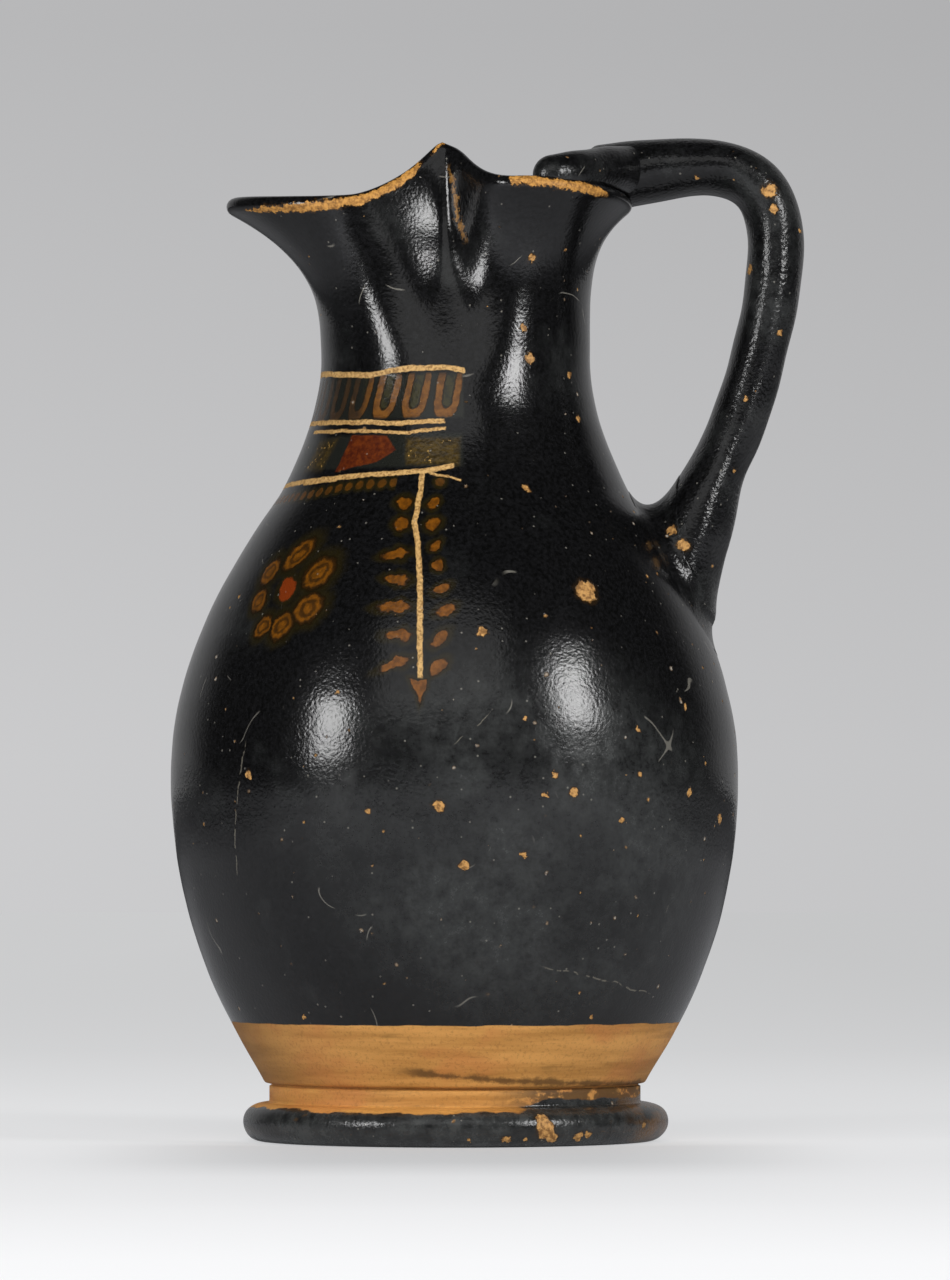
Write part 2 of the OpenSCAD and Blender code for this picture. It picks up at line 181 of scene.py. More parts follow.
def skin(s, u):
    """Outer skin of the mouth at rim places s and shares u of the way up."""
    s, u = np.broadcast_arrays(np.asarray(s, float), np.asarray(u, float))
    flat = s.ravel() % rim_loop
    far_half = flat > rim_loop / 2
    side_sign = np.where(far_half, -1, 1)
    folded = np.where(far_half, rim_loop - flat, flat)
    p = along(rim_chain, folded)
    k = np.clip(np.floor(folded), 0, len(rim_chain) - 1).astype(int)
    power = mix(flare_power[k], flare_power[k + 1], ease(folded - k))
    reach = np.hypot(p[:, 0], p[:, 1])
    up = np.clip(u.ravel(), 0, None)
    swell = flank_swell * np.exp(-(((folded - flank_place) / flank_spread) ** 2)) * ease(up)
    r = neck_r + (reach - neck_r) * up**power + swell
    z = mix(neck_z, p[:, 2], u.ravel())
    out = np.stack([r * p[:, 0] / reach, side_sign * r * p[:, 1] / reach, z], 1)
    return out.reshape(s.shape + (3,))


def skin_frame(s, u):
    """Outward normal and up direction of that skin."""
    step = 0.02
    round_dir = unit(skin(s + step, u) - skin(s - step, u))
    rise = skin(s, u + step) - skin(s, np.maximum(u - step, 0))
    n = unit(np.cross(rise, round_dir))
    return n, np.cross(round_dir, n)


def placed(name, data):
    """New object in the scene."""
    obj = bpy.data.objects.new(name, data)
    bpy.context.scene.collection.objects.link(obj)
    return obj


def make_piece(name, verts, faces, replaced):
    """Object from points in millimetres, which rides on the root and stands for a CAD node."""
    mesh = bpy.data.meshes.new(name)
    mesh.from_pydata([tuple(v) for v in np.asarray(verts) * MM], [], faces)
    mesh.validate()
    mesh.update()
    mesh.polygons.foreach_set("use_smooth", [True] * len(mesh.polygons))
    obj = placed(name, mesh)
    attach(obj, "root")
    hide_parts(replaced)
    return obj


def ring_faces(rings, n, loop=False):
    """Quads between rings of n points that follow one another. In a loop the last meets the first."""
    faces = []
    for j in range(rings if loop else rings - 1):
        low, high = j * n, (j + 1) % rings * n
        for i in range(n):
            k = (i + 1) % n
            faces.append((low + i, low + k, high + k, high + i))
    return faces


def turned_over(faces):
    return [f[::-1] for f in faces]


def fan(pole, first, n):
    """Triangles from one point to a ring of n points."""
    return [(pole, first + i, first + (i + 1) % n) for i in range(n)]


def closed_faces(rings, n):
    """Faces of rings of n points, and of the two end points that come after them."""
    pole, last_ring = rings * n, (rings - 1) * n
    return ring_faces(rings, n) + turned_over(fan(pole, 0, n)) + fan(pole + 1, last_ring, n)


def even(points, n):
    """n + 1 shares of the length of a line of points, as places along it from 0 to 1."""
    gaps = np.linalg.norm(np.diff(points, axis=0), axis=1)
    at = np.concatenate([[0], np.cumsum(gaps)])
    return np.interp(np.linspace(0, at[-1], n + 1), at, np.linspace(0, 1, len(points)))


# Body: rings of points from the underside over the lip to the floor inside
half_columns = [50, 44, 44, 62]
column_s = np.concatenate([k + np.arange(n) / n for k, n in enumerate(half_columns)])
column_s = np.concatenate([column_s, [rim_loop / 2], rim_loop - column_s[:0:-1]])
columns = len(column_s)
column_dir = skin(column_s, np.ones(columns))
column_angle = np.arctan2(column_dir[:, 1], column_dir[:, 0])
# Heights of the waves in the wall, and the height over which they grow from its lower edge
oval, three_sided, fine_mark, broad_mark, dimple, even_edge = 0.16, 0.10, 0.008, 0.02, 0.05, 8
# Fold: depth, half widths towards spout and handle, and the heights of its ends and its full depth
fold_depth, fold_ahead, fold_behind = 5.6, 9.8, 7.5
fold_low, fold_full_low, fold_full_high, fold_high = 132, 156, 160, 182


def turned(profile, angles):
    """Rings of the points of a profile, as (radius, height), turned to the angles."""
    profile = np.asarray(profile, float)
    r, z = profile[:, :1], profile[:, 1:]
    return np.stack([r * np.cos(angles), r * np.sin(angles), np.broadcast_to(z, (len(z), len(angles)))], -1)


def unevenness(points):
    """Small throwing marks and lopsidedness of the wall, as a distance outwards."""
    a = np.arctan2(points[..., 1], points[..., 0])
    z = points[..., 2]
    slow = oval * np.sin(2 * a + 0.03 * z + 0.7) + three_sided * np.sin(3 * a - 0.05 * z + 2.1)
    marks = fine_mark * np.sin(z * 1.15 + 0.5 * np.sin(a + 0.4))
    marks = marks + broad_mark * np.sin(z * 0.53 + 1.3 * np.sin(a))
    dimples = dimple * np.sin(5 * a + 0.21 * z) * np.sin(0.17 * z + 2 * a + 1.0)
    return (slow + marks + dimples) * between(z, wall_z, wall_z + even_edge)


def fold(points):
    """Depth of the fold that runs down from each pinch of the mouth."""
    x, z = points[..., 0], points[..., 2]
    across = np.exp(-((x / np.where(x < 0, fold_ahead, fold_behind)) ** 2))
    return fold_depth * across * between(z, fold_low, fold_full_low) * between(z, fold_high, fold_full_high)


outer_n, mouth_n, lip_n, inner_mouth_n, inner_n, floor_n, under_n = 128, 40, 9, 22, 26, 6, 8
corner_round, corner_gap, lip_even, under_in = 0.5, 0.3, 0.3, 0.5
s_even = 3 * even(fine_wall, outer_n)
wall_outer = along(wall_chain, s_even)
under_r = hollow_r - under_in
under_share = np.linspace(0, 1, under_n + 1)[1:]
nipple = nipple_drop * (1 + np.cos(math.pi * under_share)) / 2
under = np.stack([under_r * under_share, wall_z - nipple], 1)
corner_points = bezier([[base_r - 1.6 * corner_round, wall_z], [base_r - 0.5 * corner_round, wall_z],
                        corner + 0.1 * corner_round * lean_dir(base_lean),
                        corner + 1.2 * corner_round * lean_dir(base_lean)], np.linspace(0, 1, 5))
wall_outer = wall_outer[wall_outer[:, 1] > corner_points[-1, 1] + corner_gap]

# Inside, the wall runs down to floor_s, and from there the floor curves in. Its middle is a pole.
floor_s, floor_pull, floor_flat, floor_last = 0.2, 3.9, 0.6, 0.93
floor_z = wall_z + floor_t
floor_in = (along(wall_chain, floor_s) - wall_t([floor_s]) * wall_normal([floor_s]))[0]
floor_down = unit(along(wall_chain, floor_s, bezier_slope))[0]
floor_middle = np.array([0, floor_z])
floor_curve = [floor_in, floor_in - floor_pull * floor_down, floor_middle + [floor_flat * floor_in[0], 0],
               floor_middle]
s_in = np.linspace(3, floor_s, inner_n + 1)[1:]
wall_inner = along(wall_chain, s_in) - wall_t(s_in) * wall_normal(s_in)
floor_points = bezier(floor_curve, np.linspace(0, floor_last, floor_n + 1)[1:])

outer_profile = np.concatenate([under, [[mix(under_r, base_r, 0.5), wall_z]], corner_points, wall_outer])
outer_rings = turned(outer_profile, column_angle)
mouth_start = len(outer_rings)
up_shares = np.linspace(0, 1, mouth_n + 1)[1:]
mouth_rings = np.stack([skin(column_s, np.full(columns, u)) for u in up_shares])
one = np.ones(columns)
lip_normal, lip_up = skin_frame(column_s, one)
lip_edge = skin(column_s, one)
lip_angles = np.linspace(0, math.pi, lip_n + 1)[1:]
lip_rings = np.stack([lip_edge - lip_normal * lip_t / 2
                      + lip_t / 2 * (math.cos(a) * lip_normal + math.sin(a) * lip_up) for a in lip_angles])
inner_mouth = []
for u in np.linspace(1, 0, inner_mouth_n + 1)[1:]:
    at = np.full(columns, u)
    n, _ = skin_frame(column_s, at)
    inner_mouth.append(skin(column_s, at) - mix(neck_wall, lip_t, u) * n)
inner_rings = turned(np.concatenate([wall_inner, floor_points]), column_angle)
all_rings = np.concatenate([outer_rings, mouth_rings, lip_rings, inner_mouth, inner_rings])
outer_end = mouth_start + mouth_n
fade_start = mouth_start + mouth_n // 2
crest = outer_end + lip_n // 2

# Unevenness moves the outside, and fades out over the lip; the fold moves both sides of the wall
radial = unit(all_rings * [1, 1, 0])
share = np.zeros(len(all_rings))
share[:fade_start] = 1
share[fade_start:outer_end] = np.linspace(1, lip_even, outer_end - fade_start)
outwards = unevenness(all_rings) * share[:, None] - fold(all_rings)
all_rings = all_rings + radial * outwards[..., None]

# Distance from the lip's crest down the outside, and up to it from the inside
steps = np.linalg.norm(np.diff(all_rings, axis=0), axis=2)
travel = np.concatenate([np.zeros((1, columns)), np.cumsum(steps, axis=0)])
from_rim = travel[crest][None] - travel

poles = [[0, 0, wall_z - nipple_drop], [0, 0, floor_z]]
verts = np.concatenate([all_rings.reshape(-1, 3), poles])
faces = turned_over(closed_faces(len(all_rings), columns))
body = make_piece("jug_body", verts, faces, "body")
rim_mm = body.data.attributes.new("rim_mm", "FLOAT", "POINT")
far_out, far_in = 99, -99
rim_mm.data.foreach_set("value", np.append(from_rim, [far_out, far_in]).astype(np.float32))

# Foot
foot_n = 320
ledge, crest_pull, crest_drop, roll_pull = 1.2, 2.2, 0.3, 1.4
under_drop, under_pull, hollow_rise = 1.8, 1.6, 1.5
ledge_r = stem_r + ledge
roll_top = [[ledge_r, roll_h], [ledge_r + crest_pull, roll_h - crest_drop], [roll_r, roll_h - roll_pull],
            [roll_r, roll_z]]
roll_bottom = [[roll_r, roll_z], [roll_r, roll_z - under_drop], [rest_outer_r + under_pull, 0],
               [rest_outer_r, 0]]


def arch(a, over, b, n):
    """n points of the curve from a to b that leans towards the point over."""
    return [(1 - t) ** 2 * a + 2 * t * (1 - t) * over + t * t * b for t in np.linspace(0, 1, n)]


def soft_line(points, soft, n):
    """Line through points whose corners are rounded: soft is how far each round reaches."""
    points = np.asarray(points, float)
    out = []
    for i, p in enumerate(points):
        if soft[i] == 0:
            out.append(p)
            continue
        a, b = (p + unit(q - p) * soft[i] for q in (points[i - 1], points[i + 1]))
        out += arch(a, p, b, n)
    return np.array(out)


def dense(points, gap):
    """The same line with more points, so that none are further apart than gap."""
    out = [points[0]]
    for a, b in zip(points[:-1], points[1:]):
        k = max(1, math.ceil(np.linalg.norm(b - a) / gap))
        out += [mix(a, b, i / k) for i in range(1, k + 1)]
    return np.array(out)


inside_soft, stem_soft, soft_n, edge_back, edge_down, foot_gap = 0.9, 0.5, 5, 0.4, 0.25, 0.9
inside_line = soft_line([[hollow_r, foot_h], [hollow_r, hollow_rise], [rest_inner_r, 0], [rest_outer_r, 0]],
                        [0, inside_soft, inside_soft, 0], soft_n)
roll_line = np.concatenate([bezier(roll_bottom, np.linspace(1, 0, 13))[1:],
                            bezier(roll_top, np.linspace(1, 0, 15))[1:]])
stem_line = soft_line([roll_line[-1], [stem_r, roll_h], [stem_r, foot_h - edge_down],
                       [stem_r - edge_back, foot_h]], [0, stem_soft, 0, 0], soft_n)[1:]
foot_profile = dense(np.concatenate([inside_line, roll_line, stem_line]), foot_gap)
foot_angle = np.linspace(0, TAU, foot_n, endpoint=False)
foot_rings = turned(foot_profile, foot_angle)
# Waves round the roll: height, number and start
foot_waves = [(0.12, 3, 0.5), (0.09, 7, 1.9), (0.05, 13, 0)]
wobble = sum(h * np.sin(k * foot_angle + start) for h, k, start in foot_waves)
profile_r, profile_z = foot_profile.T
foot_share = between(profile_z, 0.2, 2.5) * between(profile_r, rest_outer_r, rest_outer_r + 2)
foot_rings = foot_rings + unit(foot_rings * [1, 1, 0]) * (foot_share[:, None] * wobble)[..., None]
foot_faces = ring_faces(len(foot_profile), foot_n, loop=True)
foot = make_piece("jug_foot", foot_rings.reshape(-1, 3), foot_faces, "foot")

# Handle
rear_z = neck_z + rear_rise
top_z = rear_z + handle_over
far_x = rear_reach + handle_out
start_in, start_drop, start_lift = 5, 1.9, 0.6
bend_in, bend_down, fall_lean, fall_out = 13, 14, 24, 0.685
start_pull, top_pull, back_pull, far_pull, fall_pull, turn_pull, root_out = 6, 9, 8, 9.5, 10, 11, 0.5
tail_in, tail_down, tail_pull, tail_t, tail_w = 1.4, 9, 3, 2.5, 9
strap_start = np.array([rear_reach - start_in, 0, top_z - start_drop])
bend_start = np.array([far_x - bend_in, 0, top_z])
bend_end = np.array([far_x, 0, top_z - bend_down])
fall_dir = np.array([-math.sin(math.radians(fall_lean)), 0, -math.cos(math.radians(fall_lean))])
fall_end = np.array([mix(shoulder_r, far_x, fall_out), 0, root_z + turn_h])
root_end = np.array([float(wall_radius(root_z)) - root_sink, 0, root_z])
tail_end = root_end - [tail_in, 0, tail_down]
handle_chain = [
    [strap_start, strap_start + [start_pull, 0, start_lift], bend_start - [start_pull, 0, 0], bend_start],
    [bend_start, bend_start + [top_pull, 0, 0], bend_end + [0, 0, back_pull], bend_end],
    [bend_end, bend_end - [0, 0, far_pull], fall_end - fall_pull * fall_dir, fall_end],
    [fall_end, fall_end + turn_pull * fall_dir, root_end + [root_out, 0, turn_pull], root_end],
    [root_end, root_end - [root_out * 0.3, 0, tail_pull], tail_end + [0.3, 0, tail_pull], tail_end],
]
start_t, slim_to, thick_from, thick_to, wide_from, wide_to = 12, 1.2, 3.08, 3.58, 2.6, 4


def strap_half(s):
    """Half thickness and half width of the strap at places s."""
    s = np.asarray(s, float)
    t = mix(mix(start_t, strap_t, between(s, 0, slim_to)), root_t, between(s, thick_from, thick_to)) / 2
    w = mix(strap_w, root_w, between(s, wide_from, wide_to)) / 2
    tail = between(s, 4, 5)
    return mix(t, tail_t, tail), mix(w, tail_w, tail)


def strap_points(s, angles):
    """Points round the strap at places s: angle 0 is its outer side."""
    p = along(handle_chain, s)
    d = unit(along(handle_chain, s, bezier_slope))
    n = np.stack([d[:, 2], np.zeros(len(d)), -d[:, 0]], 1)
    t, w = strap_half(s)
    a = np.asarray(angles)
    oval = p[:, None] + (t[:, None] * np.cos(a))[..., None] * n[:, None]
    oval[..., 1] += w[:, None] * np.sin(a)
    return oval


strap_n = 64
strap_angle = -np.linspace(0, TAU, strap_n, endpoint=False)
strap_steps = [25, 35, 47, 51, 11]
strap_s = np.concatenate([k + np.arange(n) / n for k, n in enumerate(strap_steps)] + [[len(strap_steps)]])
strap = strap_points(strap_s, strap_angle)
strap_line = along(handle_chain, strap_s)
length = np.cumsum(np.linalg.norm(np.diff(strap_line, axis=0, prepend=strap_line[:1]), axis=1))
# Waves left by the hand: height, length along the strap and start there, number round it and start there
hand_waves = [(0.10, 5.3, 0, 2, 0.6), (0.09, 3.1, 1, 1, -1.1), (0.06, 1.9, 2, 3, 0)]
hand = sum(h * np.sin(length / long + start)[:, None] * np.cos(k * strap_angle + first)
           for h, long, start, k, first in hand_waves)
strap = strap + unit(strap - strap_line[:, None]) * hand[..., None]
nose_n = 7
nose_len = 3.2
nose_dir = -unit(np.array([start_pull, 0, start_lift]))
nose = []
for k in range(1, nose_n + 1):
    a = math.pi / 2 * k / (nose_n + 1)
    nose.append(strap_start + (strap[0] - strap_start) * math.cos(a) + nose_dir * nose_len * math.sin(a))
handle_rings = np.concatenate([nose[::-1], strap])
handle_ends = [strap_start + nose_dir * nose_len, tail_end - [0, 0, 1]]
handle_verts = np.concatenate([handle_rings.reshape(-1, 3), handle_ends])
handle_faces = closed_faces(len(handle_rings), strap_n)
handle = make_piece("jug_handle", handle_verts, handle_faces, "handle")

# Rim arms
arm_to, arm_inset, arm_end_rise = 3.25, 3.6, 3.2
arm_behind, arm_beside, arm_below = 4.1, 0.8, 0.9
arm_start_pull, arm_start_spread, arm_end_pull, arm_end_lift = 8, 1, 8.5, 1.5
arm_normal = skin_frame(np.array([arm_to]), np.ones(1))[0][0]
arm_flat = unit(arm_normal * [1, 1, 0])
arm_end = skin(np.array([arm_to]), np.ones(1))[0] - arm_inset * arm_flat + [0, 0, arm_end_rise]
arm_start = np.array([rear_reach + arm_behind, arm_beside, top_z - arm_below])
arm_along = np.array([arm_flat[1], -arm_flat[0], 0])
arm_curve = [arm_start, arm_start + [-arm_start_pull, arm_start_spread, 0],
             arm_end + arm_end_pull * arm_along + [0, 0, arm_end_lift], arm_end]
arm_wave, arm_wave_rate = 0.08, 17


def tube(path, radius, n):
    """Points and faces of a tube round a path, kept upright, with both ends rounded."""
    d = unit(np.gradient(path, axis=0))
    side_dir = unit(np.cross(d, [0, 0, 1.0]))
    up_dir = np.cross(side_dir, d)
    a = np.linspace(0, TAU, n, endpoint=False)[:, None]

    def ring(k, past=0.0):
        """Ring at a point of the path, or on the round end that goes past it by an angle."""
        centre = path[k] + d[k] * radius[k] * math.sin(past)
        return centre + radius[k] * math.cos(past) * (np.cos(a) * side_dir[k] + np.sin(a) * up_dir[k])

    bends = math.pi / 2 * np.arange(1, 8) / 8
    rings = [ring(0, -b) for b in bends[::-1]] + [ring(k) for k in range(len(path))]
    rings += [ring(-1, b) for b in bends]
    ends = [path[0] - d[0] * radius[0], path[-1] + d[-1] * radius[-1]]
    return np.concatenate(rings + [ends]), closed_faces(len(rings), n)


arm_n = 40
arm_t = np.linspace(0, 1, 40)
arm_radius = mix(arm_r, arm_end_r, ease(arm_t)) + arm_wave * np.sin(arm_t * arm_wave_rate)
arm_verts, arm_faces = tube(bezier(arm_curve, arm_t), arm_radius, arm_n)
arms = [
    make_piece("arm_left", arm_verts, turned_over(arm_faces), "rim_arm_left"),
    make_piece("arm_right", arm_verts * [1, -1, 1], arm_faces, "rim_arm_right"),
]

# Clay smoothed round the handle's root, from where each line along the strap enters the wall
root_n, fillet_n = 96, 16
root_angle = np.linspace(0, TAU, root_n, endpoint=False)
search = np.linspace(3.0, 4.85, 371)
lines = strap_points(search, root_angle)
gap = np.hypot(lines[..., 0], lines[..., 1]) - wall_radius(lines[..., 2])
entry = np.argmax(gap < 0, axis=0)
entry_s = search[entry]
meets = lines[entry, np.arange(root_n)]
# Reach of the clay up the strap and out over the wall: beside it, and what crotch and lower side add
up_beside, up_crotch, up_below, out_beside, out_crotch, out_below = 3.4, 2.0, 3.0, 3.6, 1.6, 3.4
inner_side = np.clip(-np.cos(root_angle), 0, 1)
outer_side = np.clip(np.cos(root_angle), 0, 1)
up_reach = up_beside + up_crotch * inner_side + up_below * outer_side
out_reach = out_beside + out_crotch * inner_side + out_below * outer_side
upright, steepness, hub_down, hub_in = 1.15, 0.85, 1, 3
search_steps = np.linalg.norm(np.diff(along(handle_chain, search), axis=0), axis=1)
mm_per_place = search_steps.mean() / (search[1] - search[0])
start_s = entry_s - up_reach / mm_per_place
from_strap = np.stack([strap_points([s], [a])[0, 0] for s, a in zip(start_s, root_angle)])
hub_z = (meets[:, 2].max() + meets[:, 2].min()) / 2 - hub_down
meet_a = np.arctan2(meets[:, 1], meets[:, 0])
meet_r = np.hypot(meets[:, 0], meets[:, 1])
away = unit(np.stack([meet_a * meet_r, (meets[:, 2] - hub_z) * upright], 1)) * out_reach[:, None]
far_z = meets[:, 2] + away[:, 1] * steepness
far_a = meet_a + away[:, 0] / meet_r
far_r = wall_radius(far_z)
onto_wall = np.stack([far_r * np.cos(far_a), far_r * np.sin(far_a), far_z], 1)
rows = arch(from_strap, meets, onto_wall, fillet_n + 1)
# The ring closes under the wall and inside the strap, out of sight
sink, sink_in, middle_in = 0.9, 0.4, 1.2
hub_point = np.array([float(wall_radius(hub_z)) - hub_in, 0, hub_z])
rows += [
    onto_wall + unit(hub_point - onto_wall) * sink_in - unit(onto_wall * [1, 1, 0]) * sink,
    meets + unit(hub_point - meets) * middle_in,
    from_strap + unit(along(handle_chain, start_s) - from_strap) * sink,
]
clay_faces = ring_faces(len(rows), root_n, loop=True)
root_clay = make_piece("root_clay", np.concatenate(rows), clay_faces, "root_pad")


# Colours and small marks. Angles on the wall run from the near side (-Y) towards the handle (+X).
RADIAN = math.pi / 180


def rgb(r, g, b):
    """Linear colour of three display values from 0 to 255."""
    out = []
    for v in (r, g, b):
        v = v / 255
        out.append(v / 12.92 if v <= 0.04045 else ((v + 0.055) / 1.055) ** 2.4)
    return (*out, 1)


def put(tree, value, socket):
    """Link or write a value into a socket."""
    if isinstance(value, Num):
        tree.links.new(value.socket, socket)
    elif isinstance(value, bpy.types.NodeSocket):
        tree.links.new(value, socket)
    else:
        socket.default_value = value


def add(tree, kind, values=(), **settings):
    """New node with its settings. values fill its inputs in turn, or by name where they are a dict."""
    made = tree.nodes.new("ShaderNode" + kind)
    for name, value in settings.items():
        setattr(made, name, value)
    for key, value in values.items() if isinstance(values, dict) else enumerate(values):
        put(tree, value, made.inputs[key])
    return made


class Num:
    """A number inside a material. Arithmetic with it writes the nodes for the result."""

    def __init__(self, tree, socket):
        self.tree, self.socket = tree, socket

    def node(self, operation, *others):
        return Num(self.tree, add(self.tree, "Math", (self, *others), operation=operation).outputs[0])

    def __add__(self, o):
        return self.node("ADD", o)

    def __sub__(self, o):
        return self.node("SUBTRACT", o)

    def __mul__(self, o):
        return self.node("MULTIPLY", o)

    def plus_times(self, k, c):
        return self.node("MULTIPLY_ADD", k, c)

    def low(self, o):
        return self.node("MINIMUM", o)

    def high(self, o):
        return self.node("MAXIMUM", o)

    def size(self):
        return self.node("ABSOLUTE")

    def without(self, o):
        return self * o.plus_times(-1, 1)

    def step(self, low, high, bottom=0.0, top=1.0, kind="SMOOTHSTEP"):
        """bottom before low, top after high, and a smooth change between. low may be over high."""
        made = add(self.tree, "MapRange", (self, low, high, bottom, top), interpolation_type=kind)
        return Num(self.tree, made.outputs[0])

    def line(self, *knots):
        """Value of a line through knots (place, value) at this place, level beyond its ends."""
        total = None
        for (a, from_value), (b, to_value) in zip(knots, knots[1:]):
            rise = self.step(a, b, 0, to_value - from_value, "LINEAR")
            total = rise if total is None else total + rise
        return total + knots[0][1]

    def window(self, low, high, soft):
        return self.step(low - soft, low + soft) * self.step(high + soft, high - soft)


class Paint:
    """Node writer for one material: places in millimetres, noises, shapes, colours and the shader."""

    def __init__(self, name):
        self.mat = bpy.data.materials.new(name)
        self.mat.use_nodes = True
        self.tree = self.mat.node_tree
        self.tree.nodes.clear()
        self.shader = self.add("BsdfPrincipled")
        self.add("OutputMaterial", [self.shader.outputs[0]])
        self.place = self.scaled(self.add("TexCoord").outputs["Object"], 1 / MM)

    def add(self, kind, values=(), **settings):
        return add(self.tree, kind, values, **settings)

    def vector(self, operation, *values):
        return self.add("VectorMath", values, operation=operation)

    def scaled(self, at, by):
        return self.add("VectorMath", {0: at, "Scale": by}, operation="SCALE").outputs[0]

    def split(self, at, kind="XYZ"):
        return [Num(self.tree, out) for out in self.add("Separate" + kind, [at]).outputs]

    def joined(self, x, y, z=0.0):
        return self.add("CombineXYZ", (x, y, z)).outputs[0]

    def noise(self, size, detail=2.0, rough=0.5, stretch=None, colour=False):
        """Noise whose lumps are about size millimetres, from 0 to 1 round 0.5."""
        at = self.vector("MULTIPLY", self.place, stretch).outputs[0] if stretch else self.place
        made = self.add("TexNoise", {"Vector": at, "Scale": 1 / size, "Detail": detail, "Roughness": rough})
        return made.outputs["Color"] if colour else Num(self.tree, made.outputs[0])

    def swing(self, reach, size, detail=2.0, rough=0.5):
        """Noise round 0, where reach is the whole way from low to high."""
        return self.noise(size, detail, rough).plus_times(reach, -reach / 2)

    def cells(self, size, of=None):
        """Distance to the middle of the nearest random cell, in cells, and its random numbers."""
        made = self.add("TexVoronoi", {"Vector": of or self.place, "Scale": 1 / size})
        return Num(self.tree, made.outputs["Distance"]), self.split(made.outputs["Color"], "Color")

    def shaken(self, *layers):
        """Places moved at random, in layers (size of the lumps, reach)."""
        at = self.place
        for size, by in layers:
            centred = self.vector("SUBTRACT", self.noise(size, colour=True), (0.5, 0.5, 0.5)).outputs[0]
            at = self.vector("ADD", at, self.scaled(centred, by)).outputs[0]
        return at

    def polar(self, at):
        """Angle on the wall in degrees, the same on the near and the far side, with radius and height."""
        x, y, z = self.split(at)
        angle = y.size().node("ARCTAN2", x * -1).plus_times(1 / RADIAN, -90)
        return angle, (x * x + y * y).node("SQRT"), z

    def blob(self, flat, u, v, half_u, half_v, turn=0.0):
        """Distance from an oval's middle on a flat pair of places: 1 on its edge."""
        made = self.add("Mapping", (flat, (u, v, 0), (0, 0, turn * RADIAN), (half_u, half_v, 1)),
                        vector_type="TEXTURE")
        return self.length(made.outputs[0])

    def length(self, at):
        return Num(self.tree, self.vector("LENGTH", at).outputs["Value"])

    def outside(self, flat, corners):
        """Distance outside a convex shape, whose corners run clockwise."""
        worst = None
        for (u0, v0), (u1, v1) in zip(corners, corners[1:] + corners[:1]):
            span = math.hypot(u1 - u0, v1 - v0)
            out_dir = ((v0 - v1) / span, (u1 - u0) / span)
            dot = Num(self.tree, self.vector("DOT_PRODUCT", flat, (*out_dir, 0)).outputs["Value"])
            edge = dot - (u0 * out_dir[0] + v0 * out_dir[1])
            worst = edge if worst is None else worst.high(edge)
        return worst

    def blend(self, under, over, share):
        """Colour that goes from under to over as share goes from 0 to 1."""
        under, over = (rgb(*c) if isinstance(c, tuple) else c for c in (under, over))
        # Of the node's sockets, these are the factor and the two colours, and the colour that it gives
        return self.add("Mix", {0: share, 6: under, 7: over}, data_type="RGBA").outputs[2]

    def layers(self, colour, *coats):
        """Colour under coats (over, share) that follow one another."""
        for over, share in coats:
            colour = self.blend(colour, over, share)
        return colour

    def finish(self, colour, roughness, relief):
        """The material with its colour, its roughness and its relief in millimetres."""
        bump = self.add("Bump", {"Distance": MM, "Height": relief})
        for name, value in (("Base Color", colour), ("Roughness", roughness), ("Normal", bump.outputs[0]),
                            ("Specular IOR Level", specular)):
            put(self.tree, value, self.shader.inputs[name])
        return self.mat


def least(fields):
    """Lowest of several numbers."""
    out = fields[0]
    for f in fields[1:]:
        out = out.low(f)
    return out


def chip_field(paint, chips):
    """Distance to the nearest of several chips, in their radii. The far side has them lower and turned."""
    x, y, z = paint.split(paint.shaken((1.3, 1.7), (0.4, 0.6)))
    far = y.step(-0.01, 0.01)
    turn = far.plus_times(-2, 1)
    at = paint.joined(x * turn, y * turn, far.plus_times(far_chip_drop, z))
    apart = []
    for centre, radius in chips:
        distance = paint.vector("DISTANCE", at, tuple(float(c) for c in centre)).outputs["Value"]
        apart.append(Num(paint.tree, distance) * (1 / radius))
    return least(apart)


far_chip_drop = 7.0
black, soft_black, haze_grey = (6, 6, 6), (18, 18, 19), (64, 66, 65)
chip_dark, chip_light, chip_edge, dust_grey = (112, 76, 34), (186, 140, 80), (40, 27, 12), (150, 148, 140)
hair_colour, hair_share, scratch_colour, scratch_share = (150, 146, 136), 0.36, (140, 134, 120), 0.36
# Roughness of clean gloss and what full haze, wear and covering paint add to it, and of bare clay
gloss_rough, haze_adds, wear_adds, paint_adds, clay_rough, slip_rough = 0.155, 0.24, 0.4, 0.12, 0.62, 0.65
specular, chip_depth = 0.36, 0.2


